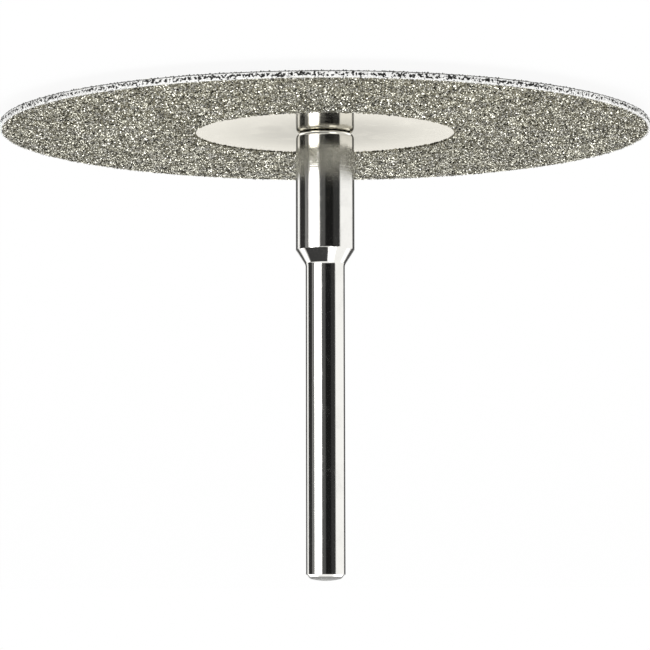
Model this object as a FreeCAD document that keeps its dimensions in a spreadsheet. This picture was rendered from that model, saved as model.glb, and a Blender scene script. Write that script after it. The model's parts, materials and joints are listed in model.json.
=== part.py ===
import FreeCAD, Part
import os
import Sketcher

# A diamond cutting disc clamped on its mandrel. The part stands on the flat head of its clamp screw, with
# the shank pointing up +Z: the head's face is at height 0, and the axis of the mandrel is the Z axis.

# Driving sizes, in millimetres and degrees.
SIZES = {
    # disc
    "disc_diameter": 50.0,
    "blank_thickness": 0.4,
    "coating_thickness": 0.1,
    "bare_diameter": 20.0,
    "rim_round": 0.12,
    # mandrel
    "shank_diameter": 3.0,
    "collar_diameter": 4.5,
    "collar_length": 9.05,
    "neck_cone_length": 1.18,
    "mandrel_length": 34.4,
    "shoulder_round": 0.45,
    "collar_edge_round": 0.12,
    "neck_round": 0.45,
    "end_chamfer_width": 0.34,
    "end_chamfer_length": 0.33,
    "end_crown": 0.15,
    # screw and its hole
    "thread_diameter": 2.0,
    "thread_gap": 0.02,
    "thread_length": 5.5,
    "thread_point": 0.25,
    "hole_runout": 1.0,
    "hole_mouth_chamfer": 0.2,
    "drill_point_angle": 118.0,
    "blank_hole_gap": 0.08,
    "head_diameter": 5.0,
    "head_height": 0.9,
    "head_round": 0.3,
    "slot_width": 0.7,
    "slot_depth": 0.45,
}

# Sizes and places worked out from the driving sizes, each by a formula of the sheet.
WORKED_OUT = {
    # stack of the clamped pieces along the axis, from the head's face up
    "far_face": "head_height",
    "seat_face": "far_face + blank_thickness",
    # disc
    "disc_radius": "disc_diameter / 2",
    "blank_radius": "disc_radius - coating_thickness",
    "bare_radius": "bare_diameter / 2",
    "blank_hole_radius": "thread_radius + blank_hole_gap",
    "coating_low": "-coating_thickness",
    "coating_high": "blank_thickness + coating_thickness",
    # mandrel
    "shank_radius": "shank_diameter / 2",
    "collar_radius": "collar_diameter / 2",
    "cone_end": "collar_length + neck_cone_length",
    "chamfer_start": "mandrel_length - end_crown - end_chamfer_length",
    "chamfer_end": "mandrel_length - end_crown",
    "end_radius": "shank_radius - end_chamfer_width",
    # screw and its hole
    "thread_radius": "thread_diameter / 2",
    "thread_top": "head_height + thread_length",
    "point_start": "thread_top - thread_point",
    "point_radius": "thread_radius - thread_point",
    "head_radius": "head_diameter / 2",
    "hole_diameter": "thread_diameter + 2 * thread_gap",
    "hole_depth": "thread_length - blank_thickness + hole_runout",
    "hole_mouth_diameter": "hole_diameter + 2 * hole_mouth_chamfer",
    "slot_half_width": "slot_width / 2",
    "slot_half_length": "head_radius + slot_width",
}

ON_AXIS = ""

# The points of a drawn line or arc, and the sketch's own origin and axes, as a sketch numbers them.
DRAWN_POINT, DRAWN_END, DRAWN_CENTRE = range(1, 4)
LEVEL_AXIS, UPRIGHT_AXIS = range(-1, -3, -1)
ORIGIN = LEVEL_AXIS


def fill_sheet(doc):
    """Write every size into the sheet, one row each, and name its cell."""
    sheet = doc.addObject("Spreadsheet::Sheet", "sizes")
    row = 1
    for name, value in SIZES.items():
        sheet.set(f"A{row}", name)
        sheet.set(f"B{row}", str(value))
        sheet.setAlias(f"B{row}", name)
        row += 1
    for name in WORKED_OUT:
        sheet.set(f"A{row}", name)
        sheet.setAlias(f"B{row}", name)
        row += 1
    row = len(SIZES) + 1
    for formula in WORKED_OUT.values():
        sheet.set(f"B{row}", "=" + formula)
        row += 1
    doc.recompute()
    return sheet


def new_body(doc, name, height=None):
    """Start a sub-part whose own frame stands at a named height on the axis."""
    body = doc.addObject("PartDesign::Body", name)
    body.Label = name
    body.Placement = FreeCAD.Placement()
    if height:
        body.setExpression("Placement.Base.z", f"sizes.{height}")
    return body


def new_sketch(body, name, role):
    """Start a sketch on one of the body's own origin planes."""
    plane = [item for item in body.Origin.OriginFeatures if item.Role == role][0]
    sketch = body.newObject("Sketcher::SketchObject", name)
    sketch.AttachmentSupport = [(plane, "")]
    sketch.MapMode = "FlatFace"
    return sketch


def hold(sketch, kind, corner, name, value):
    """Hold one coordinate of a corner: on the axis, or at a named distance from the origin."""
    if name == ON_AXIS:
        axis = UPRIGHT_AXIS if kind == "DistanceX" else LEVEL_AXIS
        sketch.addConstraint(Sketcher.Constraint("PointOnObject", corner, DRAWN_POINT, axis))
        return
    place = sketch.addConstraint(Sketcher.Constraint(kind, ORIGIN, DRAWN_POINT, corner, DRAWN_POINT, value))
    sketch.renameConstraint(place, f"{kind}_{corner}")
    sketch.setExpression(f".Constraints.{kind}_{corner}", f"sizes.{name}")


def draw_outline(sketch, sheet, corners, crowned=None):
    """Draw a closed outline through corners named (across, up).

    The side that leaves corner number `crowned` is an arc centred on the upright axis.
    """
    spots = []
    for across, up in corners:
        spot_across = sheet.get(across) if across else 0.0
        spot_up = sheet.get(up) if up else 0.0
        spots.append(FreeCAD.Vector(spot_across, spot_up, 0))
    for corner, spot in enumerate(spots):
        following = spots[(corner + 1) % len(spots)]
        side = Part.LineSegment(spot, following)
        if corner == crowned:
            rise = following.y - spot.y
            radius = (spot.x ** 2 + rise ** 2) / (2 * rise)
            centre = FreeCAD.Vector(0, following.y - radius, 0)
            circle = Part.Circle(centre, FreeCAD.Vector(0, 0, 1), radius)
            side = Part.ArcOfCircle(circle, circle.parameter(spot), circle.parameter(following))
        sketch.addGeometry(side, False)
    for corner in range(len(corners)):
        following = (corner + 1) % len(corners)
        join = Sketcher.Constraint("Coincident", corner, DRAWN_END, following, DRAWN_POINT)
        sketch.addConstraint(join)
    if crowned is not None:
        centred = Sketcher.Constraint("PointOnObject", crowned, DRAWN_CENTRE, UPRIGHT_AXIS)
        sketch.addConstraint(centred)
    for corner, (across, up) in enumerate(corners):
        hold(sketch, "DistanceX", corner, across, spots[corner].x)
        hold(sketch, "DistanceY", corner, up, spots[corner].y)


def draw_circle(sketch, sheet, name):
    """Draw a circle about the origin with a named radius."""
    circle = Part.Circle(FreeCAD.Vector(), FreeCAD.Vector(0, 0, 1), sheet.get(name))
    drawn = sketch.addGeometry(circle, False)
    sketch.addConstraint(Sketcher.Constraint("Coincident", drawn, DRAWN_CENTRE, ORIGIN, DRAWN_POINT))
    size = sketch.addConstraint(Sketcher.Constraint("Radius", drawn, sheet.get(name)))
    sketch.renameConstraint(size, name)
    sketch.setExpression(f".Constraints.{name}", f"sizes.{name}")


def turn(body, sketch, name):
    """Turn a half section about the axis."""
    turned = body.newObject("PartDesign::Revolution", name)
    turned.Profile = sketch
    turned.ReferenceAxis = (sketch, ["V_Axis"])
    turned.Angle = 360.0
    sketch.Visibility = False
    body.Document.recompute()
    return turned


def round_edge(body, sheet, name, rounding, edges):
    """Round the circular edges that lie at named (radius, height) places in the body's own frame."""
    base = body.Tip
    found = []
    for number, edge in enumerate(base.Shape.Edges, start=1):
        if edge.Degenerated or not isinstance(edge.Curve, Part.Circle):
            continue
        for radius, height in edges:
            up = sheet.get(height) if height else 0.0
            same_radius = abs(edge.Curve.Radius - sheet.get(radius)) < 1e-6
            if same_radius and abs(edge.Curve.Center.z - up) < 1e-6:
                found.append(f"Edge{number}")
    if len(found) != len(edges):
        raise RuntimeError(f"{name}: found {len(found)} of {len(edges)} edges")
    fillet = body.newObject("PartDesign::Fillet", name)
    fillet.Base = (base, found)
    fillet.setExpression("Radius", f"sizes.{rounding}")
    body.Document.recompute()
    return fillet


def build_mandrel(doc, sheet):
    """Turned mandrel: its own frame has the seat on the blank at height 0."""
    body = new_body(doc, "mandrel", "seat_face")
    section = new_sketch(body, "mandrel_section", "XZ_Plane")
    corners = [
        (ON_AXIS, ON_AXIS),
        ("collar_radius", ON_AXIS),
        ("collar_radius", "collar_length"),
        ("shank_radius", "cone_end"),
        ("shank_radius", "chamfer_start"),
        ("end_radius", "chamfer_end"),
        (ON_AXIS, "mandrel_length"),
    ]
    draw_outline(section, sheet, corners, crowned=5)
    turn(body, section, "mandrel_bar")
    round_edge(body, sheet, "shoulder", "shoulder_round", [("collar_radius", ON_AXIS)])
    round_edge(body, sheet, "collar_edge", "collar_edge_round", [("collar_radius", "collar_length")])
    round_edge(body, sheet, "neck_blend", "neck_round", [("shank_radius", "cone_end")])

    solid_volume = body.Shape.Volume
    mouth = new_sketch(body, "hole_circle", "XY_Plane")
    draw_circle(mouth, sheet, "thread_radius")
    doc.recompute()
    hole = body.newObject("PartDesign::Hole", "tapped_hole")
    hole.Profile = mouth
    doc.recompute()
    hole.Reversed = True
    hole.DepthType = "Dimension"
    hole.DrillPoint = "Angled"
    hole.HoleCutType = "Countersink"
    hole.HoleCutCountersinkAngle = 90.0
    hole.setExpression("Diameter", "sizes.hole_diameter")
    hole.setExpression("Depth", "sizes.hole_depth")
    hole.setExpression("DrillPointAngle", "sizes.drill_point_angle")
    hole.setExpression("HoleCutDiameter", "sizes.hole_mouth_diameter")
    doc.recompute()
    if body.Shape.Volume >= solid_volume:
        raise RuntimeError("the tapped hole cut nothing")
    return body


def build_steel_disc(doc, sheet):
    """Thin blank with its centre hole: its own frame has the far face at height 0."""
    body = new_body(doc, "steel_disc", "far_face")
    circles = new_sketch(body, "blank_circles", "XY_Plane")
    draw_circle(circles, sheet, "blank_radius")
    draw_circle(circles, sheet, "blank_hole_radius")
    blank = body.newObject("PartDesign::Pad", "blank")
    blank.Profile = circles
    blank.setExpression("Length", "sizes.blank_thickness")
    doc.recompute()
    return body


def build_diamond_coating(doc, sheet):
    """Plated layer wrapped over the rim and both faces, down to the bare ring round the collar."""
    body = new_body(doc, "diamond_coating", "far_face")
    section = new_sketch(body, "coating_section", "XZ_Plane")
    corners = [
        ("bare_radius", "coating_low"),
        ("disc_radius", "coating_low"),
        ("disc_radius", "coating_high"),
        ("bare_radius", "coating_high"),
        ("bare_radius", "blank_thickness"),
        ("blank_radius", "blank_thickness"),
        ("blank_radius", ON_AXIS),
        ("bare_radius", ON_AXIS),
    ]
    draw_outline(section, sheet, corners)
    turn(body, section, "coating")
    rims = [("disc_radius", "coating_low"), ("disc_radius", "coating_high")]
    round_edge(body, sheet, "coating_rim", "rim_round", rims)
    return body


def build_clamp_screw(doc, sheet):
    """Slotted clamp screw: head face at height 0, thread up through the blank into the collar."""
    body = new_body(doc, "clamp_screw")
    section = new_sketch(body, "screw_section", "XZ_Plane")
    corners = [
        (ON_AXIS, ON_AXIS),
        ("head_radius", ON_AXIS),
        ("head_radius", "head_height"),
        ("thread_radius", "head_height"),
        ("thread_radius", "point_start"),
        ("point_radius", "thread_top"),
        (ON_AXIS, "thread_top"),
    ]
    draw_outline(section, sheet, corners)
    turn(body, section, "screw_blank")
    round_edge(body, sheet, "head_edge", "head_round", [("head_radius", ON_AXIS)])

    solid_volume = body.Shape.Volume
    slot_outline = new_sketch(body, "slot_outline", "XY_Plane")
    draw_slot(slot_outline, sheet)
    slot = body.newObject("PartDesign::Pocket", "slot")
    slot.Profile = slot_outline
    slot.Reversed = True
    slot.setExpression("Length", "sizes.slot_depth")
    doc.recompute()
    if body.Shape.Volume >= solid_volume:
        raise RuntimeError("the slot cut nothing")
    return body


def draw_slot(sketch, sheet):
    """Draw the screwdriver slot's outline, centred on the origin and open past both sides of the head."""
    half_length = sheet.get("slot_half_length")
    half_width = sheet.get("slot_half_width")
    spots = [
        FreeCAD.Vector(-half_length, -half_width, 0),
        FreeCAD.Vector(half_length, -half_width, 0),
        FreeCAD.Vector(half_length, half_width, 0),
        FreeCAD.Vector(-half_length, half_width, 0),
    ]
    for side in range(4):
        sketch.addGeometry(Part.LineSegment(spots[side], spots[(side + 1) % 4]), False)
    for side in range(4):
        following = (side + 1) % 4
        join = Sketcher.Constraint("Coincident", side, DRAWN_END, following, DRAWN_POINT)
        sketch.addConstraint(join)
        straight = "Horizontal" if side % 2 == 0 else "Vertical"
        sketch.addConstraint(Sketcher.Constraint(straight, side))
    first, opposite = 0, 2
    centred = Sketcher.Constraint(
        "Symmetric", first, DRAWN_POINT, opposite, DRAWN_POINT, ORIGIN, DRAWN_POINT
    )
    sketch.addConstraint(centred)
    across = Sketcher.Constraint("DistanceX", ORIGIN, DRAWN_POINT, opposite, DRAWN_POINT, half_length)
    up = Sketcher.Constraint("DistanceY", ORIGIN, DRAWN_POINT, opposite, DRAWN_POINT, half_width)
    sketch.renameConstraint(sketch.addConstraint(across), "half_length")
    sketch.renameConstraint(sketch.addConstraint(up), "half_width")
    sketch.setExpression(".Constraints.half_length", "sizes.slot_half_length")
    sketch.setExpression(".Constraints.half_width", "sizes.slot_half_width")


def check_and_write(doc, bodies):
    """Stop on any failed object or shape, then write each sub-part to a file named after it."""
    for item in doc.Objects:
        if "Invalid" in item.State or "Error" in item.State:
            raise RuntimeError(f"{item.Name} failed: {item.State}")
    os.makedirs("parts", exist_ok=True)
    for body in bodies:
        shape = body.Shape
        if shape.isNull() or not shape.isValid() or len(shape.Solids) != 1:
            raise RuntimeError(f"{body.Label} is not one valid solid")
        shape.exportStep(f"parts/{body.Label}.step")
        box = shape.BoundBox
        print(f"{body.Label}: {shape.Volume:.3f} mm3, height {box.ZMin:.3f} to {box.ZMax:.3f}")


def main():
    doc = FreeCAD.newDocument("diamond_cutting_disc")
    sheet = fill_sheet(doc)
    bodies = [
        build_mandrel(doc, sheet),
        build_steel_disc(doc, sheet),
        build_diamond_coating(doc, sheet),
        build_clamp_screw(doc, sheet),
    ]
    doc.recompute()
    check_and_write(doc, bodies)


main()
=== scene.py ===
import json
import logging
import math
from collections.abc import Callable, Sequence
from dataclasses import dataclass
from enum import Enum
from itertools import pairwise

import bpy
from mathutils import Euler, Matrix, Vector

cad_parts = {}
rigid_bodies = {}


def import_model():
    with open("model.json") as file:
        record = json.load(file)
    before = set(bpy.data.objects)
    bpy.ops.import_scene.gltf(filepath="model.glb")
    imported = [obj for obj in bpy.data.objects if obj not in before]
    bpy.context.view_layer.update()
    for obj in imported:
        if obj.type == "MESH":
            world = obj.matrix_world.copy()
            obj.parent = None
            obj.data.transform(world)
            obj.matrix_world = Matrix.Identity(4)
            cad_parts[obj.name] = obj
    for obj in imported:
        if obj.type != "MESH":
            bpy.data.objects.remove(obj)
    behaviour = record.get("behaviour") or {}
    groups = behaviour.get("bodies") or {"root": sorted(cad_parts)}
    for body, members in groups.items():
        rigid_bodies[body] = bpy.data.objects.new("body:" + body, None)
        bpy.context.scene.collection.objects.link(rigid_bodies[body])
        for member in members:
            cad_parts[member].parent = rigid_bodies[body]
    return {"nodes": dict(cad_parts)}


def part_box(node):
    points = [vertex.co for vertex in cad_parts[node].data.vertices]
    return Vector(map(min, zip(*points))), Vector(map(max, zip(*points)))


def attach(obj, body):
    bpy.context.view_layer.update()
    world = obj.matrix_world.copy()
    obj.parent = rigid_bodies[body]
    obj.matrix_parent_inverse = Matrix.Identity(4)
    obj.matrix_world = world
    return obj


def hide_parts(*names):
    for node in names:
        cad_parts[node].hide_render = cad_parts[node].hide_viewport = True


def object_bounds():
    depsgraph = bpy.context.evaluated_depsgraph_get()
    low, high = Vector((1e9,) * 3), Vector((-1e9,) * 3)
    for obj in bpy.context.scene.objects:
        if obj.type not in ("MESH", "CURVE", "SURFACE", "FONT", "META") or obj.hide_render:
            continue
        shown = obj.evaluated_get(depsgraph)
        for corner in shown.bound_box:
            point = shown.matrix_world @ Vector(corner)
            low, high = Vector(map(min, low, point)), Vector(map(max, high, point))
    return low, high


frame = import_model()
cad_low, cad_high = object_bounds()

MM = 0.001
BODY = "root"
TINT = "tint"
FULL_TURN = 360.0
BARE_RADIUS = 10.0 * MM
WELD = 0.001 * MM
QUARTERS = ((1, 1), (-1, 1), (-1, -1), (1, -1))

log = logging.getLogger("diamond_disc")

Colour = tuple[float, float, float, float]
Feed = bpy.types.NodeSocket | float | Sequence[float]


class DiscSide(Enum):
    """A face of the disc, named after what stands on it."""

    SHANK = "shank_side"
    SCREW = "screw_side"

    @property
    def outward(self) -> int:
        """Give the sign of Z that points out of this face."""
        return 1 if self is DiscSide.SHANK else -1

    @property
    def seed(self) -> int:
        """Give the seed of this face's first patch of crystals."""
        return 10 if self is DiscSide.SHANK else 20


class NodeBench:
    """A node tree with short calls that add a node and join it up."""

    def __init__(self, tree: bpy.types.NodeTree) -> None:
        """Take the tree to work on.

        Args:
            tree: A shader or geometry node tree.
        """
        self.tree = tree

    def feed(self, socket: bpy.types.NodeSocket, value: Feed) -> None:
        """Link an output to a socket, or set the socket's own value.

        Args:
            socket: The input to feed.
            value: An output socket, a number or a list of numbers.
        """
        if isinstance(value, bpy.types.NodeSocket):
            self.tree.links.new(value, socket)
        else:
            socket.default_value = value

    def add(
        self, kind: str, inputs: dict[str | int, Feed] | None = None, **options: object
    ) -> bpy.types.Node:
        """Add one node.

        Args:
            kind: The node's type name.
            inputs: What feeds each input, by its name or number.
            **options: The node's own settings.

        Returns:
            The new node.
        """
        node = self.tree.nodes.new(kind)
        for name, value in options.items():
            setattr(node, name, value)
        for key, value in (inputs or {}).items():
            self.feed(node.inputs[key], value)
        return node

    def math(self, operation: str, *values: Feed) -> bpy.types.NodeSocket:
        """Add a Math node.

        Args:
            operation: What it works out, such as MULTIPLY.
            *values: Its inputs in order.

        Returns:
            Its result.
        """
        node = self.tree.nodes.new("ShaderNodeMath")
        node.operation = operation
        for socket, value in zip(node.inputs, values):
            self.feed(socket, value)
        return node.outputs[0]

    def rise(
        self, value: Feed, start: float, end: float, low: float = 0.0, high: float = 1.0
    ) -> bpy.types.NodeSocket:
        """Map a value smoothly from one span to another, held at both ends.

        Args:
            value: The value to map.
            start: Where the result is still low.
            end: Where the result has become high.
            low: The result at the start.
            high: The result at the end.

        Returns:
            The mapped value.
        """
        spans = {"Value": value, "From Min": start, "From Max": end, "To Min": low, "To Max": high}
        return self.add("ShaderNodeMapRange", spans, interpolation_type="SMOOTHSTEP").outputs["Result"]

    def mix(self, share: Feed, first: Feed, second: Feed) -> bpy.types.NodeSocket:
        """Mix two numbers.

        Args:
            share: How much of the second number counts, from 0 to 1.
            first: The first number.
            second: The second number.

        Returns:
            The mixed number.
        """
        return self.add("ShaderNodeMix", {0: share, 2: first, 3: second}, data_type="FLOAT").outputs[0]

    def blend(self, share: Feed, first: Feed, second: Feed) -> bpy.types.NodeSocket:
        """Mix two colours.

        Args:
            share: How much of the second colour shows, from 0 to 1.
            first: The first colour.
            second: The second colour.

        Returns:
            The mixed colour.
        """
        node = self.add("ShaderNodeMix", data_type="RGBA")
        for number, value in ((0, share), (6, first), (7, second)):
            self.feed(node.inputs[number], value)
        return node.outputs[2]

    def noise(
        self, place: Feed, scale: Feed, detail: float = 2.0, distortion: float = 0.0
    ) -> bpy.types.NodeSocket:
        """Add a noise pattern.

        Args:
            place: The coordinates it is read at.
            scale: Its features per metre.
            detail: Its finer octaves.
            distortion: How far it is stirred.

        Returns:
            The pattern, about 0.5 on average.
        """
        inputs = {"Vector": place, "Scale": scale, "Detail": detail, "Distortion": distortion}
        return self.add("ShaderNodeTexNoise", inputs).outputs["Fac"]

    def place(self) -> bpy.types.NodeSocket:
        """Give the object coordinates, in metres."""
        return self.add("ShaderNodeTexCoord").outputs["Object"]

    def parts(self, vector: bpy.types.NodeSocket) -> tuple[bpy.types.NodeSocket, ...]:
        """Give the X, Y and Z of a vector.

        Args:
            vector: The vector.

        Returns:
            The three values.
        """
        return tuple(self.add("ShaderNodeSeparateXYZ", {"Vector": vector}).outputs)

    def from_axis(self, vector: bpy.types.NodeSocket) -> bpy.types.NodeSocket:
        """Give the distance of a place from the Z axis.

        Args:
            vector: The place.

        Returns:
            The distance in metres.
        """
        flat = self.add("ShaderNodeVectorMath", {0: vector, 1: (1.0, 1.0, 0.0)}, operation="MULTIPLY")
        return self.add("ShaderNodeVectorMath", {0: flat.outputs[0]}, operation="LENGTH").outputs["Value"]

    def bump(self, height: Feed, distance: float, under: Feed | None = None) -> bpy.types.NodeSocket:
        """Raise the surface by a pattern.

        Args:
            height: The pattern, from about 0 to 1.
            distance: How high 1 stands, in metres.
            under: The normal of a broader relief that this one lies on.

        Returns:
            The new normal.
        """
        node = self.add("ShaderNodeBump", {"Height": height, "Distance": distance})
        if under is not None:
            self.feed(node.inputs["Normal"], under)
        return node.outputs["Normal"]

    def group(self, tree: bpy.types.NodeTree, **inputs: float) -> bpy.types.bpy_prop_collection:
        """Use a shared node group.

        Args:
            tree: The group.
            **inputs: The numbers on its inputs; the other inputs keep their usual values.

        Returns:
            The group's outputs.
        """
        node = self.add("ShaderNodeGroup", node_tree=tree)
        for name, value in inputs.items():
            node.inputs[name].default_value = value
        return node.outputs

    def put_out(self, **results: Feed) -> None:
        """Feed the outputs of the group that this bench builds.

        Args:
            **results: What each named output gives.
        """
        ends = self.tree.nodes["Group Output"].inputs
        for name, value in results.items():
            self.feed(ends[name], value)


def new_group(name: str, inputs: dict[str, float], outputs: Sequence[str]) -> NodeBench:
    """Start a shader node group with number sockets.

    Args:
        name: The group's name.
        inputs: Its inputs and their usual values.
        outputs: Its outputs.

    Returns:
        The group's bench, with its input and output nodes in place.
    """
    tree = bpy.data.node_groups.new(name, "ShaderNodeTree")
    for label, usual in inputs.items():
        socket = tree.interface.new_socket(label, in_out="INPUT", socket_type="NodeSocketFloat")
        socket.default_value = usual
    for label in outputs:
        tree.interface.new_socket(label, in_out="OUTPUT", socket_type="NodeSocketFloat")
    tree.nodes.new("NodeGroupInput")
    tree.nodes.new("NodeGroupOutput")
    return NodeBench(tree)


class Effects:
    """The surface effects that more than one finish uses, each a node group built once."""

    FINE_SMUDGES = 5.0
    FINE_SHARE = 0.35
    FILM_EDGE = 0.45
    CHIP_BAND = (0.2, 0.9)
    CHIPS_INSIDE = 0.53
    CHIPS_OUTSIDE = 0.38
    CHIP_EDGE = 0.02
    GRAIN_DENSITY = 1.7
    GRAIN_BRIGHT = 0.56
    GRAIN_DULL = 0.4

    def __init__(self) -> None:
        """Build the groups."""
        self.smudges = self.build_smudges()
        self.turning = self.build_turning()
        self.chips = self.build_chips()

    def build_smudges(self) -> bpy.types.NodeTree:
        """Build the film that handling leaves on polished metal.

        Returns:
            A group that puts out Film, from 0 clean to 1 dull.
        """
        bench = new_group("handling_smudges", {"Size": 3.0 * MM, "Cover": 0.5}, ["Film"])
        given = bench.tree.nodes["Group Input"].outputs
        density = bench.math("DIVIDE", 1.0, given["Size"])
        finer = bench.math("MULTIPLY", density, self.FINE_SMUDGES)
        broad = bench.noise(bench.place(), density, detail=4.0, distortion=1.2)
        fine = bench.noise(bench.place(), finer, detail=3.0, distortion=0.6)
        mixed = bench.math("MULTIPLY_ADD", fine, self.FINE_SHARE, broad)
        start = bench.math("SUBTRACT", 1.0, given["Cover"])
        spans = {"Value": mixed, "From Min": start, "From Max": bench.math("ADD", start, self.FILM_EDGE)}
        film = bench.add("ShaderNodeMapRange", spans, interpolation_type="SMOOTHSTEP")
        bench.put_out(Film=film.outputs["Result"])
        return bench.tree

    def build_turning(self) -> bpy.types.NodeTree:
        """Build the fine rings that a lathe leaves, round the axis and on end faces.

        Returns:
            A group that puts out Rings, a height of about 0 to 1.
        """
        bench = new_group("turning_marks", {"Pitch": 0.08 * MM}, ["Rings"])
        given = bench.tree.nodes["Group Input"].outputs
        place = bench.place()
        up = bench.parts(place)[2]
        along = bench.add("ShaderNodeCombineXYZ", {0: bench.from_axis(place), 1: up}).outputs[0]
        rings = bench.noise(along, bench.math("DIVIDE", 1.0, given["Pitch"]), detail=3.0)
        bench.put_out(Rings=rings)
        return bench.tree

    def build_chips(self) -> bpy.types.NodeTree:
        """Build the black spots where the rim's crystals have broken out, most of them along its middle.

        Returns:
            A group that puts out Chips, from 0 whole to 1 broken, and Dull, from 0 bright to 1 dull.
        """
        sizes = {"Size": 0.24 * MM, "Middle": 0.0, "Half": 0.2 * MM}
        bench = new_group("rim_chips", sizes, ["Chips", "Dull"])
        given = bench.tree.nodes["Group Input"].outputs
        place = bench.place()
        off = bench.math("ABSOLUTE", bench.math("SUBTRACT", bench.parts(place)[2], given["Middle"]))
        share = bench.math("DIVIDE", off, given["Half"])
        limit = bench.rise(share, *self.CHIP_BAND, self.CHIPS_INSIDE, self.CHIPS_OUTSIDE)
        density = bench.math("DIVIDE", 1.0, given["Size"])
        spots = bench.noise(place, density, detail=1.0)
        chips = bench.rise(bench.math("SUBTRACT", limit, spots), -self.CHIP_EDGE, self.CHIP_EDGE)
        grain = bench.noise(place, bench.math("MULTIPLY", density, self.GRAIN_DENSITY), detail=2.0)
        dull = bench.rise(grain, self.GRAIN_BRIGHT, self.GRAIN_DULL)
        bench.put_out(Chips=chips, Dull=dull)
        return bench.tree


def scaled(colour: Colour, share: float) -> Colour:
    """Give a colour at a share of its brightness.

    Args:
        colour: The colour.
        share: The share, 1 for the colour itself.

    Returns:
        The dimmed colour.
    """
    return (colour[0] * share, colour[1] * share, colour[2] * share, 1.0)


def clear_bench(owner: bpy.types.Material | bpy.types.World) -> NodeBench:
    """Empty the node tree of a material or a world.

    Args:
        owner: The material or world.

    Returns:
        Its bench.
    """
    owner.use_nodes = True
    owner.node_tree.nodes.clear()
    return NodeBench(owner.node_tree)


@dataclass(frozen=True)
class Finish:
    """What every finish has: a metal's colour and how rough it is."""

    name: str
    colour: Colour
    roughness: float

    def start(self) -> tuple[bpy.types.Material, NodeBench, bpy.types.Node]:
        """Make the material with its shader.

        Returns:
            The material, its bench and its Principled shader.
        """
        material = bpy.data.materials.new(self.name)
        bench = clear_bench(material)
        shader = bench.add("ShaderNodeBsdfPrincipled", {"Metallic": 1.0, "Roughness": self.roughness})
        shader.inputs["Base Color"].default_value = self.colour
        bench.add("ShaderNodeOutputMaterial", {"Surface": shader.outputs["BSDF"]})
        return material, bench, shader


@dataclass(frozen=True)
class PlatedNickel(Finish):
    """Bright plate on a turned bar: fine rings, a slow wave, and the cut end left matt."""

    end_height: float
    end_edge: float = 0.01 * MM
    smudge_size: float = 1.8 * MM
    smudge_cover: float = 0.42
    smudge_shade: float = 0.93
    film_roughness: float = 0.1
    wave_length: float = 2.2 * MM
    wave_height: float = 0.0035 * MM
    mark_pitch: float = 0.032 * MM
    mark_height: float = 0.0015 * MM
    cut_end: Colour = (0.24, 0.24, 0.23, 1.0)
    cut_end_metal: float = 0.15
    cut_end_roughness: float = 0.7

    def build(self, effects: Effects) -> bpy.types.Material:
        """Build the material.

        Args:
            effects: The shared node groups.

        Returns:
            The material.
        """
        material, bench, shader = self.start()
        place = bench.place()
        up = bench.parts(place)[2]
        film = bench.group(effects.smudges, Size=self.smudge_size, Cover=self.smudge_cover)["Film"]
        rings = bench.group(effects.turning, Pitch=self.mark_pitch)["Rings"]
        cut_end = bench.rise(up, self.end_height - self.end_edge, self.end_height)
        filmed = bench.math("MULTIPLY_ADD", film, self.film_roughness, self.roughness)
        rough = bench.math("MAXIMUM", filmed, bench.math("MULTIPLY", cut_end, self.cut_end_roughness))
        bench.feed(shader.inputs["Roughness"], rough)
        dulled = bench.blend(film, self.colour, scaled(self.colour, self.smudge_shade))
        bench.feed(shader.inputs["Base Color"], bench.blend(cut_end, dulled, self.cut_end))
        bench.feed(shader.inputs["Metallic"], bench.rise(cut_end, 0.0, 1.0, 1.0, self.cut_end_metal))
        wave = bench.bump(bench.noise(place, 1.0 / self.wave_length, detail=1.0), self.wave_height)
        bench.feed(shader.inputs["Normal"], bench.bump(rings, self.mark_height, wave))
        return material


@dataclass(frozen=True)
class PolishedBlank(Finish):
    """Polished spring steel, darker towards the collar and brighter outward towards the grit, with smudges
    from handling.
    """

    inner_radius: float
    outer_radius: float
    low_angle_tint: Colour = (0.915, 0.895, 0.84, 1.0)
    inner_share: float = 0.82
    outer_share: float = 1.04
    low_inner_share: float = 0.87
    low_outer_share: float = 1.03
    smudge_size: float = 3.4 * MM
    smudge_cover: float = 0.5
    smudge_shade: float = 0.9
    film_roughness: float = 0.12
    wave_length: float = 4.0 * MM
    wave_height: float = 0.001 * MM

    def build(self, effects: Effects) -> bpy.types.Material:
        """Build the material.

        Args:
            effects: The shared node groups.

        Returns:
            The material.
        """
        material, bench, shader = self.start()
        place = bench.place()
        film = bench.group(effects.smudges, Size=self.smudge_size, Cover=self.smudge_cover)["Film"]
        # Base colour and low-angle tint go from darker at the collar to brighter towards the grit.
        outward = bench.rise(bench.from_axis(place), self.inner_radius, self.outer_radius)
        inner = scaled(self.colour, self.inner_share)
        clean = bench.blend(outward, inner, scaled(self.colour, self.outer_share))
        dulled = bench.blend(film, clean, scaled(self.colour, self.smudge_shade))
        bench.feed(shader.inputs["Base Color"], dulled)
        low_inner = scaled(self.low_angle_tint, self.low_inner_share)
        low_outer = scaled(self.low_angle_tint, self.low_outer_share)
        bench.feed(shader.inputs["Specular Tint"], bench.blend(outward, low_inner, low_outer))
        rough = bench.math("MULTIPLY_ADD", film, self.film_roughness, self.roughness)
        bench.feed(shader.inputs["Roughness"], rough)
        wave = bench.noise(place, 1.0 / self.wave_length, detail=1.0)
        bench.feed(shader.inputs["Normal"], bench.bump(wave, self.wave_height))
        return material


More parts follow.
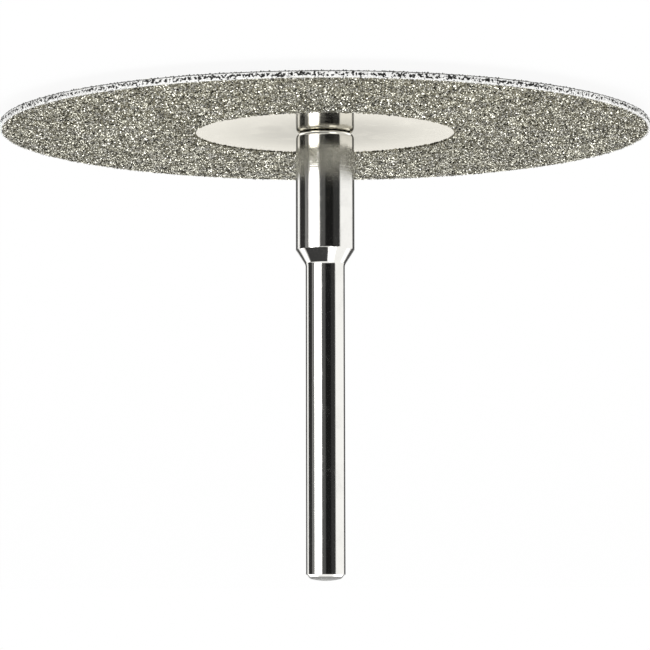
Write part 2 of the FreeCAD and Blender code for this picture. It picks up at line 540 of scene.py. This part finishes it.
@dataclass(frozen=True)
class RimWearAndHighlight:
    """The rim's look on both of the coating's finishes: a pale colour that is a painted highlight, with black
    chips and grey grain of wear, and one corner darkened as painted shade.
    """

    start: float
    end: float
    middle: float
    # Painted highlight: the rim's pale colour, with the low metal and high roughness below, makes the rim
    # bright in the even light.
    colour: Colour = (0.97, 0.97, 0.96, 1.0)
    dull: Colour = (0.8, 0.8, 0.78, 1.0)
    chip: Colour = (0.02, 0.02, 0.02, 1.0)
    chip_size: float = 0.17 * MM
    # Painted shade: the dark colour of the rim's corner on the screw side, where it falls in shadow, and the
    # heights below the middle where it begins and is full.
    corner: Colour = (0.08, 0.08, 0.078, 1.0)
    shaded_corner_start: float = 0.15 * MM
    shaded_corner_end: float = 0.2 * MM
    metal: float = 0.1
    roughness: float = 0.6

    def cover(
        self, bench: NodeBench, shader: bpy.types.Node, base: Feed, roughness: float, effects: Effects
    ) -> None:
        """Lay the rim's look over a finish wherever it comes near the rim: the painted highlight, the chips,
        the grain and the painted shade of its corner.

        Args:
            bench: The material's nodes.
            shader: Its shader.
            base: The finish's own colour.
            roughness: Its own roughness.
            effects: The shared node groups.
        """
        place = bench.place()
        chips = bench.group(effects.chips, Size=self.chip_size, Middle=self.middle)
        rim_wear_and_highlight = bench.rise(bench.from_axis(place), self.start, self.end)
        # Painted shade: the rim's corner on the screw side is drawn dark, from these heights below the
        # middle.
        below = bench.math("SUBTRACT", self.middle, bench.parts(place)[2])
        corner = bench.rise(below, self.shaded_corner_start, self.shaded_corner_end)
        # Painted highlight: the pale rim colour, made uneven by the grey grain.
        ground = bench.blend(chips["Dull"], self.colour, self.dull)
        chipped = bench.blend(chips["Chips"], ground, self.chip)
        edge = bench.blend(corner, chipped, self.corner)
        bench.feed(shader.inputs["Base Color"], bench.blend(rim_wear_and_highlight, base, edge))
        bench.feed(shader.inputs["Metallic"], bench.rise(rim_wear_and_highlight, 0.0, 1.0, 1.0, self.metal))
        bench.feed(shader.inputs["Roughness"], bench.rise(rim_wear_and_highlight, 0.0, 1.0, roughness, self.roughness))


@dataclass(frozen=True)
class NickelBond(Finish):
    """Plated nickel between the crystals: satin, with lumps where it climbs each crystal's side, and painted
    shade in the low places between the lumps.
    """

    rim: RimWearAndHighlight
    low_angle_tint: Colour = (0.36, 0.35, 0.31, 1.0)
    lump_size: float = 0.12 * MM
    lump_height: float = 0.03 * MM
    # Painted shade: where the lumps sink, the colour darkens to this share of itself.
    hollow_start: float = 0.3
    hollow_end: float = 0.62
    hollow_shade_share: float = 0.35

    def build(self, effects: Effects) -> bpy.types.Material:
        """Build the material.

        Args:
            effects: The shared node groups.

        Returns:
            The material.
        """
        material, bench, shader = self.start()
        lumps = bench.noise(bench.place(), 1.0 / self.lump_size, detail=3.0)
        # Painted shade: the low places of the lumps, where the bump sinks, are drawn darker.
        raised = bench.rise(lumps, self.hollow_start, self.hollow_end)
        hollow_shaded_colour = bench.blend(raised, scaled(self.colour, self.hollow_shade_share), self.colour)
        shader.inputs["Specular Tint"].default_value = self.low_angle_tint
        self.rim.cover(bench, shader, hollow_shaded_colour, self.roughness, effects)
        bench.feed(shader.inputs["Normal"], bench.bump(lumps, self.lump_height))
        return material


@dataclass(frozen=True)
class CrystalGrit(Finish):
    """Diamond crystals under a skin of nickel: each its own grey, with painted light on their top facets and
    painted shade on their side facets, and pale on the rim, where the pale colour is a painted highlight.
    """

    rim: RimWearAndHighlight
    dark_share: float = 0.03
    light_share: float = 2.05
    tint_power: float = 1.45
    # Painted shade and painted light: the share of brightness on the crystals' side facets (painted shade)
    # and top facets (painted light).
    shaded_side_share: float = 0.75
    lit_top_share: float = 1.5
    most: float = 1.6
    low_angle_dark: Colour = (0.1, 0.098, 0.09, 1.0)
    low_angle_light: Colour = (1.0, 0.99, 0.94, 1.0)
    cool_colour: Colour = (0.44, 0.433, 0.4, 1.0)
    patch_size: float = 1.6 * MM
    patch_start: float = 0.42
    patch_end: float = 0.62
    # How upright a facet's normal must be for the painted shade of the sides to turn into the painted light
    # of the tops.
    side_facet: float = 0.6
    top_facet: float = 0.97

    def build(self, effects: Effects) -> bpy.types.Material:
        """Build the material.

        Args:
            effects: The shared node groups.

        Returns:
            The material.
        """
        material, bench, shader = self.start()
        tint = bench.add("ShaderNodeAttribute", attribute_name=TINT).outputs["Fac"]
        patches = bench.noise(bench.place(), 1.0 / self.patch_size, detail=3.0)
        cool = bench.rise(patches, self.patch_start, self.patch_end)
        ground = bench.blend(cool, self.colour, self.cool_colour)
        # Painted light and shade: facets that face up are drawn brighter and facets on the crystals' sides
        # darker, standing in for how the light falls on them.
        normal = bench.add("ShaderNodeNewGeometry").outputs["True Normal"]
        upright = bench.math("ABSOLUTE", bench.parts(normal)[2])
        painted_facet_light = bench.rise(upright, self.side_facet, self.top_facet, self.shaded_side_share, self.lit_top_share)
        drawn = bench.math("POWER", tint, self.tint_power)
        shade = bench.math("MULTIPLY_ADD", drawn, self.light_share - self.dark_share, self.dark_share)
        share = bench.math("MINIMUM", bench.math("MULTIPLY", painted_facet_light, shade), self.most)
        grey = bench.add("ShaderNodeVectorMath", {0: ground}, operation="SCALE")
        bench.feed(grey.inputs["Scale"], share)
        grazed = bench.blend(drawn, self.low_angle_dark, self.low_angle_light)
        bench.feed(shader.inputs["Specular Tint"], grazed)
        self.rim.cover(bench, shader, grey.outputs[0], self.roughness, effects)
        return material


@dataclass(frozen=True)
class ScrewSteel(Finish):
    """Turned screw steel with visible tool rings on its head."""

    mark_pitch: float = 0.09 * MM
    mark_height: float = 0.0025 * MM
    smudge_size: float = 1.2 * MM
    smudge_shade: float = 0.82
    film_roughness: float = 0.15

    def build(self, effects: Effects) -> bpy.types.Material:
        """Build the material.

        Args:
            effects: The shared node groups.

        Returns:
            The material.
        """
        material, bench, shader = self.start()
        film = bench.group(effects.smudges, Size=self.smudge_size)["Film"]
        rings = bench.group(effects.turning, Pitch=self.mark_pitch)["Rings"]
        dulled = bench.blend(film, self.colour, scaled(self.colour, self.smudge_shade))
        bench.feed(shader.inputs["Base Color"], dulled)
        rough = bench.math("MULTIPLY_ADD", film, self.film_roughness, self.roughness)
        bench.feed(shader.inputs["Roughness"], rough)
        bench.feed(shader.inputs["Normal"], bench.bump(rings, self.mark_height))
        return material


def deselect() -> None:
    """Deselect every object, so that an operator acts on its own piece alone."""
    bpy.ops.object.select_all(action="DESELECT")


def pick(piece: bpy.types.Object) -> None:
    """Select one object alone and make it active.

    Args:
        piece: The object.
    """
    deselect()
    piece.select_set(True)
    bpy.context.view_layer.objects.active = piece


def edit_vertices(piece: bpy.types.Object, chosen: Callable[[Vector], bool]) -> None:
    """Go into edit mode with only some of a piece's vertices selected.

    Args:
        piece: The piece.
        chosen: Tells from a vertex's place whether it is selected.
    """
    pick(piece)
    bpy.ops.object.mode_set(mode="EDIT")
    bpy.ops.mesh.select_all(action="DESELECT")
    bpy.ops.object.mode_set(mode="OBJECT")
    for vertex in piece.data.vertices:
        vertex.select = chosen(vertex.co)
    bpy.ops.object.mode_set(mode="EDIT")


def turn_rings(name: str, corners: Sequence[tuple[float, float]], segments: int) -> bpy.types.Object:
    """Make a closed turned piece: one circle, extruded from corner to corner of its section and joined up.

    Args:
        name: The piece's name.
        corners: The section's corners (radius, height) in order, the last joined to the first.
        segments: The sides of each circle.

    Returns:
        The piece, with its place in its mesh.
    """
    deselect()
    radius, height = corners[0]
    bpy.ops.mesh.primitive_circle_add(vertices=segments, radius=radius, location=(0, 0, height))
    piece = bpy.context.object
    piece.name = name
    bpy.ops.object.transform_apply(location=True, rotation=False, scale=False)
    bpy.ops.object.mode_set(mode="EDIT")
    bpy.ops.mesh.select_all(action="SELECT")
    for (near, low), (far, high) in pairwise([*corners, corners[0]]):
        bpy.ops.mesh.extrude_edges_move(TRANSFORM_OT_translate={"value": (0, 0, high - low)})
        widen = far / near
        bpy.ops.transform.resize(value=(widen, widen, 1), center_override=(0, 0, high))
    bpy.ops.mesh.select_all(action="SELECT")
    bpy.ops.mesh.remove_doubles(threshold=WELD)
    bpy.ops.mesh.normals_make_consistent(inside=False)
    bpy.ops.object.mode_set(mode="OBJECT")
    return piece


def dress(piece: bpy.types.Object, material: bpy.types.Material) -> None:
    """Give a whole piece one material.

    Args:
        piece: The piece.
        material: The material.
    """
    piece.data.materials.clear()
    piece.data.materials.append(material)


def seat(piece: bpy.types.Object, material: bpy.types.Material) -> None:
    """Finish a new piece of the coating: let it ride on the part and report it.

    Args:
        piece: The piece.
        material: Its material.
    """
    dress(piece, material)
    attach(piece, BODY)
    piece.data.calc_loop_triangles()
    log.info("%s: %d triangles", piece.name, len(piece.data.loop_triangles))


@dataclass
class Metalwork:
    """The mandrel, the blank and the clamp screw, as the frame has them."""

    cut_depth: float = 0.31 * MM
    handled_radius: float = 3.0 * MM

    def dress(self, effects: Effects) -> None:
        """Plate the mandrel up to its sawn end, polish the blank and give the screw its turned look.

        Args:
            effects: The shared node groups.
        """
        end_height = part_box("mandrel")[1].z - self.cut_depth
        radii = (self.handled_radius, BARE_RADIUS)
        finishes = {
            "mandrel": PlatedNickel("bright_plate", (0.8, 0.79, 0.755, 1.0), 0.07, end_height),
            "steel_disc": PolishedBlank("polished_steel", (0.79, 0.775, 0.72, 1.0), 0.06, *radii),
            "clamp_screw": ScrewSteel("screw_steel", (0.7, 0.69, 0.66, 1.0), 0.2),
        }
        for node, finish in finishes.items():
            dress(frame["nodes"][node], finish.build(effects))
            log.info("%s: %s", node, finish.name)


@dataclass(frozen=True)
class CrystalForm:
    """The plain shape of one kind of crystal: a frustum, squeezed at its top."""

    sides: int
    tip: float
    squeeze: float


@dataclass(frozen=True)
class Strewing:
    """How crystals are strewn over a surface, between two distances from the axis."""

    seed: int
    spacing: float
    radius: float
    height: float
    inner: float
    outer: float
    turn: float = 2 * math.pi
    stretch: float = 1.0


@dataclass
class Coating:
    """The plated coating: a nickel layer wrapped over the rim, and the crystals that it holds."""

    node: str = "diamond_coating"
    blank_node: str = "steel_disc"
    bond_thickness: float = 0.04 * MM
    bond_rim: float = 0.07 * MM
    bond_bend: float = 0.3
    border: float = 0.15 * MM
    ragged: float = 0.07 * MM
    ragged_reach: float = 0.01 * MM
    ragged_seed: int = 5
    smooth_angle: float = 40.0
    segments: int = 720
    rim_band_width: float = 0.2 * MM
    crystal_radius: float = 0.108 * MM
    crystal_height: float = 0.105 * MM
    crystal_foot: float = 0.015 * MM
    spacing: float = 0.158 * MM
    rim_crystal: float = 0.09 * MM
    rim_height: float = 0.09 * MM
    rim_spacing: float = 0.113 * MM
    rim_turn: float = 0.4
    rim_stretch: float = 1.7
    rim_segments: int = 90
    rim_seed: int = 31
    uneven: float = 0.12
    smallest: float = 0.55
    lowest: float = 0.3
    tilt: float = 0.14
    seed_step: int = 100
    tries_per_point: float = 6.0
    forms: tuple[CrystalForm, ...] = (
        CrystalForm(4, 0.0, 1.0),
        CrystalForm(4, 0.65, 1.0),
        CrystalForm(4, 0.75, 0.5),
        CrystalForm(3, 0.6, 1.0),
        CrystalForm(5, 0.5, 1.0),
    )

    def __post_init__(self) -> None:
        """Read the coating's place from the frame."""
        low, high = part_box(self.node)
        blank_low, blank_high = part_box(self.blank_node)
        self.outer_radius = high.x
        self.faces = {DiscSide.SHANK: blank_high.z, DiscSide.SCREW: blank_low.z}
        self.thickness = high.z - blank_high.z
        self.blank_radius = blank_high.x
        self.middle = (low.z + high.z) / 2

    def build(self, effects: Effects) -> None:
        """Build the nickel layer and every patch of crystals.

        Args:
            effects: The shared node groups.
        """
        rim_base = self.outer_radius - self.rim_height
        # The rim's pale colour is a painted highlight and its screw-side corner painted shade; this band is
        # where they begin.
        rim_wear_and_highlight = RimWearAndHighlight(rim_base - self.rim_band_width, rim_base, self.middle)
        bond = NickelBond("nickel_bond", (0.21, 0.2, 0.162, 1.0), 0.4, rim_wear_and_highlight).build(effects)
        grit = CrystalGrit("diamond_grit", (0.61, 0.6, 0.52, 1.0), 0.27, rim_wear_and_highlight).build(effects)
        layer = self.build_bond()
        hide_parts(self.node)
        seat(layer, bond)
        moulds = self.build_crystals()
        for side in DiscSide:
            for number, corner in enumerate(QUARTERS):
                seat(self.strew_face(side, number, corner, moulds), grit)
        seat(self.strew_rim(moulds), grit)
        for mould in list(moulds.objects):
            bpy.data.objects.remove(mould)
        bpy.data.collections.remove(moulds)

    def build_bond(self) -> bpy.types.Object:
        """Turn the nickel layer's section, then make its border round the bare ring ragged.

        Returns:
            The layer.
        """
        rim = self.outer_radius - self.bond_rim
        bend = self.bond_thickness
        bent = self.bond_bend * bend
        halves = {}
        for side, face in self.faces.items():
            skin = face + side.outward * bend
            halves[side] = [
                (BARE_RADIUS, face),
                (BARE_RADIUS, skin),
                (BARE_RADIUS + self.border, skin),
                (BARE_RADIUS + 2 * self.border, skin),
                (rim - bend, skin),
                (rim - bent, skin - side.outward * bent),
                (rim, skin - side.outward * bend),
            ]
        blank = [(self.blank_radius, self.faces[side]) for side in (DiscSide.SCREW, DiscSide.SHANK)]
        upper, lower = halves[DiscSide.SHANK], halves[DiscSide.SCREW]
        corners = [*upper, (rim, self.middle), *reversed(lower), *blank]
        layer = turn_rings("nickel_bond", corners, self.segments)
        edit_vertices(layer, lambda place: place.xy.length < BARE_RADIUS + self.ragged_reach)
        bpy.ops.transform.vertex_random(offset=self.ragged, uniform=1.0, seed=self.ragged_seed)
        bpy.ops.mesh.select_all(action="SELECT")
        bpy.ops.mesh.normals_make_consistent(inside=False)
        bpy.ops.object.mode_set(mode="OBJECT")
        bpy.ops.object.shade_smooth_by_angle(angle=math.radians(self.smooth_angle))
        return layer

    def build_crystals(self) -> bpy.types.Collection:
        """Model the crystal forms, each standing on its foot with radius and height 1.

        Returns:
            A collection with one object for each form.
        """
        moulds = bpy.data.collections.new("crystal_forms")
        for number, form in enumerate(self.forms):
            deselect()
            bpy.ops.mesh.primitive_cone_add(
                vertices=form.sides, radius1=1.0, radius2=form.tip, depth=1.0, location=(0, 0, 0.5)
            )
            crystal = bpy.context.object
            crystal.name = f"crystal_{number}"
            bpy.ops.object.transform_apply(location=True, rotation=False, scale=False)
            edit_vertices(crystal, lambda place: place.z > 0.5)
            bpy.ops.transform.resize(value=(form.squeeze, 1, 1), center_override=(0, 0, 1))
            bpy.ops.mesh.select_all(action="SELECT")
            bpy.ops.transform.vertex_random(offset=self.uneven, uniform=1.0, seed=number + 1)
            bpy.ops.mesh.quads_convert_to_tris()
            bpy.ops.mesh.normals_make_consistent(inside=False)
            bpy.ops.object.mode_set(mode="OBJECT")
            for home in crystal.users_collection:
                home.objects.unlink(crystal)
            moulds.objects.link(crystal)
        return moulds

    def strew_face(
        self, side: DiscSide, number: int, corner: tuple[int, int], moulds: bpy.types.Collection
    ) -> bpy.types.Object:
        """Strew a quarter of a face with crystals.

        Args:
            side: The face.
            number: The quarter's number, from 0.
            corner: The signs of X and Y in the quarter.
            moulds: The crystal forms.

        Returns:
            The patch of crystals.
        """
        outer = self.outer_radius - self.crystal_radius
        foot = self.faces[side] + side.outward * self.crystal_foot
        deselect()
        centre = (corner[0] * outer / 2, corner[1] * outer / 2, foot)
        bpy.ops.mesh.primitive_plane_add(size=outer, location=centre)
        patch = bpy.context.object
        patch.name = f"grit_{side.value}_{number + 1}"
        bpy.ops.object.transform_apply(location=True, rotation=False, scale=False)
        if side is DiscSide.SCREW:
            bpy.ops.object.mode_set(mode="EDIT")
            bpy.ops.mesh.select_all(action="SELECT")
            bpy.ops.mesh.flip_normals()
            bpy.ops.object.mode_set(mode="OBJECT")
        seed = side.seed + number
        inner = BARE_RADIUS + self.crystal_radius / 2
        strewing = Strewing(seed, self.spacing, self.crystal_radius, self.crystal_height, inner, outer)
        return self.strew(patch, strewing, moulds)

    def strew_rim(self, moulds: bpy.types.Collection) -> bpy.types.Object:
        """Strew the rim with smaller crystals, standing out to the coating's full radius.

        Args:
            moulds: The crystal forms.

        Returns:
            The band of crystals.
        """
        base = self.outer_radius - self.rim_height
        top = self.faces[DiscSide.SHANK] + self.thickness - self.rim_crystal
        foot = self.faces[DiscSide.SCREW] - self.thickness + self.rim_crystal
        deselect()
        bpy.ops.mesh.primitive_cylinder_add(
            vertices=self.rim_segments,
            radius=base,
            depth=top - foot,
            end_fill_type="NOTHING",
            location=(0, 0, (top + foot) / 2),
        )
        band = bpy.context.object
        band.name = "grit_rim"
        bpy.ops.object.transform_apply(location=True, rotation=False, scale=False)
        sizes = (self.rim_spacing, self.rim_crystal, self.rim_height)
        strewing = Strewing(
            self.rim_seed, *sizes, BARE_RADIUS, self.outer_radius, self.rim_turn, self.rim_stretch
        )
        return self.strew(band, strewing, moulds)

    def strew(
        self, patch: bpy.types.Object, strewing: Strewing, moulds: bpy.types.Collection
    ) -> bpy.types.Object:
        """Turn a surface into the crystals strewn over it.

        Args:
            patch: The surface.
            strewing: How they are strewn.
            moulds: The crystal forms.

        Returns:
            The same object, now holding the crystals.
        """
        tree = bpy.data.node_groups.new(patch.name, "GeometryNodeTree")
        tree.interface.new_socket("Geometry", in_out="INPUT", socket_type="NodeSocketGeometry")
        tree.interface.new_socket("Geometry", in_out="OUTPUT", socket_type="NodeSocketGeometry")
        bench = NodeBench(tree)
        points = self.draw_points(bench, strewing)
        crystals = self.draw_crystals(bench, points, strewing, moulds)
        bench.add("NodeGroupOutput", {"Geometry": crystals})
        pick(patch)
        scatter = patch.modifiers.new("crystals", "NODES")
        scatter.node_group = tree
        bpy.ops.object.modifier_apply(modifier=scatter.name)
        bpy.ops.object.shade_flat()
        return patch

    def draw_points(self, bench: NodeBench, strewing: Strewing) -> bpy.types.Node:
        """Draw the points that the crystals stand on, no two closer than the spacing.

        Args:
            bench: The geometry nodes.
            strewing: How they are strewn.

        Returns:
            The node that puts the points out, with the rotation that stands each upright on the surface.
        """
        given = bench.add("NodeGroupInput")
        place = bench.add("GeometryNodeInputPosition").outputs[0]
        inputs = {
            "Mesh": given.outputs["Geometry"],
            "Distance Min": strewing.spacing,
            "Density Max": self.tries_per_point / strewing.spacing ** 2,
            "Seed": strewing.seed,
        }
        drawn = bench.add("GeometryNodeDistributePointsOnFaces", inputs, distribute_method="POISSON")
        upright = {"Geometry": drawn.outputs["Points"], "Name": "upright", "Value": drawn.outputs["Rotation"]}
        named = bench.add("GeometryNodeStoreNamedAttribute", upright, data_type="QUATERNION", domain="POINT")
        out = bench.from_axis(place)
        inside = bench.math("LESS_THAN", out, strewing.inner)
        outside = bench.math("MAXIMUM", inside, bench.math("GREATER_THAN", out, strewing.outer))
        kept = {"Geometry": named.outputs["Geometry"], "Selection": outside}
        return bench.add("GeometryNodeDeleteGeometry", kept, domain="POINT")

    def draw_crystals(
        self, bench: NodeBench, points: bpy.types.Node, strewing: Strewing, moulds: bpy.types.Collection
    ) -> bpy.types.NodeSocket:
        """Stand a crystal on every point: its form, turn, size, height and tint are drawn at random.

        Args:
            bench: The geometry nodes.
            points: The node that puts the points out.
            strewing: How they are strewn.
            moulds: The crystal forms.

        Returns:
            The crystals as a mesh.
        """
        inputs = {"Collection": moulds, "Separate Children": True, "Reset Children": True}
        forms = bench.add("GeometryNodeCollectionInfo", inputs)
        upright = bench.add("GeometryNodeInputNamedAttribute", {"Name": "upright"}, data_type="QUATERNION")
        leaning = bench.add("FunctionNodeRandomValue", data_type="FLOAT_VECTOR")
        leaning.inputs[0].default_value = (-self.tilt, -self.tilt, 0.0)
        leaning.inputs[1].default_value = (self.tilt, self.tilt, strewing.turn)
        sized, raised, tinted = (bench.add("FunctionNodeRandomValue", data_type="FLOAT") for _ in range(3))
        sized.inputs[2].default_value = self.smallest * strewing.radius
        sized.inputs[3].default_value = strewing.radius
        raised.inputs[2].default_value = self.lowest * strewing.height
        raised.inputs[3].default_value = strewing.height
        for number, draw in enumerate((leaning, sized, raised, tinted)):
            draw.inputs["Seed"].default_value = strewing.seed + self.seed_step * (number + 1)
        inputs = {"Rotation": upright.outputs[0], "Rotate By": leaning.outputs[0]}
        turned = bench.add("FunctionNodeRotateRotation", inputs, rotation_space="LOCAL")
        across = bench.math("MULTIPLY", sized.outputs[1], strewing.stretch)
        grown = bench.add("ShaderNodeCombineXYZ", {0: across, 1: sized.outputs[1], 2: raised.outputs[1]})
        strewn = bench.add(
            "GeometryNodeInstanceOnPoints",
            {
                "Points": points.outputs["Geometry"],
                "Instance": forms.outputs[0],
                "Pick Instance": True,
                "Rotation": turned.outputs[0],
                "Scale": grown.outputs[0],
            },
        )
        inputs = {"Geometry": strewn.outputs["Instances"], "Name": TINT, "Value": tinted.outputs[1]}
        named = bench.add("GeometryNodeStoreNamedAttribute", inputs, data_type="FLOAT", domain="INSTANCE")
        return bench.add("GeometryNodeRealizeInstances", {"Geometry": named.outputs["Geometry"]}).outputs[0]


@dataclass(frozen=True)
class Card:
    """An upright card of the studio, as polished metal sees it.

    Its edges are azimuths in degrees from the camera's side, positive towards +X.
    """

    start: float
    end: float
    light: float


@dataclass
class Studio:
    """The light: white all round, with cards and flags that draw the stripes on the polished metal."""

    card_edge: float = 2.4
    peak: float = 7.0
    cards: tuple[Card, ...] = (
        Card(-180, -162, 1.0),
        Card(-162, -136, 0.09),
        Card(-136, -61, 1.15),
        Card(-61, -33, 0.04),
        Card(-33, 0, 0.012),
        Card(0, 22, 0.1),
        Card(22, 28, 1.5),
        Card(28, 62, 7.0),
        Card(62, 69, 1.5),
        Card(69, 79, 0.17),
        Card(79, 85, 0.34),
        Card(85, 120, 0.035),
        Card(120, 138, 1.15),
        Card(138, 162, 0.09),
        Card(162, 180, 1.0),
    )
    band_high: float = 24.0
    band_high_back: float = 14.0
    band_low: float = -14.0
    band_edge: float = 4.0
    behind_start: float = 104.0
    behind_end: float = 128.0
    back_start: float = 166.0
    back_end: float = 172.0
    skirting_start: float = 158.0
    skirting_end: float = 164.0
    skirting_high: float = 4.0
    skirting_edge: float = 3.0
    skirting_light: float = 0.05
    overhead: float = 1.15
    overhead_behind: float = 2.6
    zenith_start: float = 62.0
    zenith_end: float = 70.0
    zenith: float = 1.15
    front_below: float = 1.5
    back_below: float = 1.2
    below_start: float = 80.0
    below_end: float = 110.0
    flag_height: float = 57.5
    flag_droop: float = 0.002
    flag_half: float = 8.5
    flag_edge: float = 1.5
    flag_start: float = -28.0
    flag_start_edge: float = 2.0
    flag_end: float = 105.0
    flag_end_edge: float = 4.0
    flag_light: float = 0.05
    white: Colour = (1.0, 1.0, 1.0, 1.0)

    def build(self) -> None:
        """Build the world: plain white to the camera and to matt surfaces, the cards to polished metal."""
        world = bpy.data.worlds.new("studio")
        bpy.context.scene.world = world
        bench = clear_bench(world)
        path = bench.add("ShaderNodeLightPath").outputs
        metal_sees = self.draw_cards(bench)
        seen = bench.mix(path["Is Glossy Ray"], 1.0, metal_sees)
        sky = bench.add("ShaderNodeBackground", {"Color": self.white, "Strength": seen})
        bench.add("ShaderNodeOutputWorld", {"Surface": sky.outputs[0]})
        log.info("studio: %d cards", len(self.cards))

    def draw_cards(self, bench: NodeBench) -> bpy.types.NodeSocket:
        """Draw the cards, the flag and the light from above and below.

        Args:
            bench: The world's nodes.

        Returns:
            The brightness in each direction.
        """
        direction = bench.add("ShaderNodeTexCoord").outputs["Generated"]
        across, depth, up = bench.parts(direction)
        turn = bench.math("ARCTAN2", across, bench.math("MULTIPLY", depth, -1.0))
        azimuth = bench.math("MULTIPLY", turn, math.degrees(1.0))
        height = bench.math("MULTIPLY", bench.math("ARCSINE", up), math.degrees(1.0))
        along = bench.math("MULTIPLY_ADD", azimuth, 1.0 / FULL_TURN, 0.5)
        ramp = bench.add("ShaderNodeValToRGB", {"Fac": along})
        self.fill_ramp(ramp.color_ramp)
        stripes = bench.math("MULTIPLY", ramp.outputs["Color"], self.peak)
        off_front = bench.math("ABSOLUTE", azimuth)
        behind = bench.rise(off_front, self.behind_start, self.behind_end)
        back = bench.rise(off_front, self.back_start, self.back_end)
        ceiling = bench.mix(back, self.band_high, self.band_high_back)
        low_back = bench.rise(height, self.skirting_high, self.skirting_high - self.skirting_edge)
        beside = bench.rise(off_front, self.skirting_start, self.skirting_end)
        skirting = bench.math("MULTIPLY", beside, low_back)
        stripes = bench.mix(skirting, stripes, self.skirting_light)
        above = bench.rise(bench.math("SUBTRACT", height, ceiling), 0.0, self.band_edge)
        below = bench.rise(height, self.band_low, self.band_low - self.band_edge)
        under = bench.rise(off_front, self.below_start, self.below_end, self.front_below, self.back_below)
        flag = self.draw_flag(bench, azimuth, height)
        lit = bench.rise(behind, 0.0, 1.0, self.overhead, self.overhead_behind)
        roof = bench.mix(bench.rise(height, self.zenith_start, self.zenith_end), lit, self.zenith)
        upper = bench.mix(above, stripes, bench.mix(flag, roof, self.flag_light))
        return bench.mix(below, upper, under)

    def draw_flag(self, bench: NodeBench, azimuth: Feed, height: Feed) -> bpy.types.NodeSocket:
        """Draw the dark flag over the camera that the neck cone mirrors.

        Args:
            bench: The world's nodes.
            azimuth: The direction's azimuth in degrees.
            height: Its elevation in degrees.

        Returns:
            1 inside the flag and 0 outside.
        """
        squared = bench.math("MULTIPLY", azimuth, azimuth)
        middle = bench.math("MULTIPLY_ADD", squared, -self.flag_droop, self.flag_height)
        off = bench.math("ABSOLUTE", bench.math("SUBTRACT", height, middle))
        within = bench.rise(off, self.flag_half + self.flag_edge, self.flag_half - self.flag_edge)
        start, start_edge = self.flag_start, self.flag_start_edge
        end, end_edge = self.flag_end, self.flag_end_edge
        started = bench.rise(azimuth, start - start_edge, start + start_edge)
        ended = bench.rise(azimuth, end + end_edge, end - end_edge)
        return bench.math("MULTIPLY", within, bench.math("MULTIPLY", started, ended))

    def fill_ramp(self, ramp: bpy.types.ColorRamp) -> None:
        """Set the ramp's stops, two for each card.

        Args:
            ramp: The ramp over the whole turn.
        """
        while len(ramp.elements) > 1:
            ramp.elements.remove(ramp.elements[-1])
        for card in self.cards:
            for azimuth in (card.start + self.card_edge, card.end - self.card_edge):
                stop = ramp.elements.new(azimuth / FULL_TURN + 0.5)
                stop.color = (card.light / self.peak,) * 3 + (1.0,)
        ramp.elements.remove(ramp.elements[0])


@dataclass
class Floor:
    """A plain pale floor that takes the shadow and can be seen through from below."""

    half_size: float = 3.0
    white: Colour = (0.95, 0.95, 0.95, 1.0)
    glow: float = 0.93

    def build(self) -> None:
        """Build the floor that the part stands on: nearly white to the camera, and clear from below."""
        deselect()
        bpy.ops.mesh.primitive_plane_add(size=2 * self.half_size, location=(0, 0, cad_low.z))
        floor = bpy.context.object
        floor.name = "studio_floor"
        floor.visible_glossy = False
        material = bpy.data.materials.new("white_paper")
        dress(floor, material)
        bench = clear_bench(material)
        paper = bench.add("ShaderNodeBsdfDiffuse", {"Color": self.white})
        glow = bench.add("ShaderNodeEmission")
        camera = bench.add("ShaderNodeLightPath").outputs["Is Camera Ray"]
        lit = bench.add(
            "ShaderNodeMixShader",
            {0: bench.math("MULTIPLY", camera, self.glow), 1: paper.outputs[0], 2: glow.outputs[0]},
        )
        clear = bench.add("ShaderNodeBsdfTransparent")
        behind = bench.add("ShaderNodeNewGeometry").outputs["Backfacing"]
        seen = bench.add("ShaderNodeMixShader", {0: behind, 1: lit.outputs[0], 2: clear.outputs[0]})
        bench.add("ShaderNodeOutputMaterial", {"Surface": seen.outputs[0]})
        log.info("studio_floor: %.1f m across", 2 * self.half_size)


@dataclass
class Lamp:
    """A soft square lamp aimed at the part."""

    name: str
    place: Vector
    size: float
    watts: float

    def build(self) -> None:
        """Hang the lamp."""
        light = bpy.data.lights.new(self.name, "AREA")
        light.size = self.size
        light.energy = self.watts
        lamp = bpy.data.objects.new(self.name, light)
        bpy.context.scene.collection.objects.link(lamp)
        lamp.location = self.place
        lamp.rotation_euler = (-self.place).to_track_quat("-Z", "Y").to_euler()
        log.info("%s: %.2f W", self.name, self.watts)


@dataclass
class Viewpoint:
    """The camera, turned upside down so that the shank hangs as in the photograph's frame."""

    place: Vector = Vector((0.000027, -0.237015, 0.039135))
    dip: float = 5.54
    lean: float = -0.11
    focal_pixels: float = 3106.15
    frame_pixels: float = 650.0
    sensor_width: float = 36.0
    nearest: float = 0.01

    def build(self) -> None:
        """Set up the camera."""
        camera_data = bpy.data.cameras.new("camera")
        camera_data.sensor_width = self.sensor_width
        camera_data.lens = self.focal_pixels / self.frame_pixels * self.sensor_width
        camera_data.clip_start = self.nearest
        camera = bpy.data.objects.new("camera", camera_data)
        bpy.context.scene.collection.objects.link(camera)
        level = Euler((math.radians(90 - self.dip), 0, 0)).to_matrix().to_4x4()
        rolled = Matrix.Rotation(math.radians(180 + self.lean), 4, "Z")
        camera.matrix_world = Matrix.Translation(self.place) @ level @ rolled
        bpy.context.scene.camera = camera


def main() -> None:
    """Build every piece, then the studio."""
    bpy.context.scene.view_settings.view_transform = "Standard"
    effects = Effects()
    Metalwork().dress(effects)
    Coating().build(effects)
    Studio().build()
    Floor().build()
    Lamp("key_lamp", Vector((-0.25, -0.3, 0.45)), size=0.25, watts=0.35).build()
    Viewpoint().build()


if __name__ == "__main__":
    logging.basicConfig(level=logging.INFO, format="%(name)s: %(message)s")
    main()
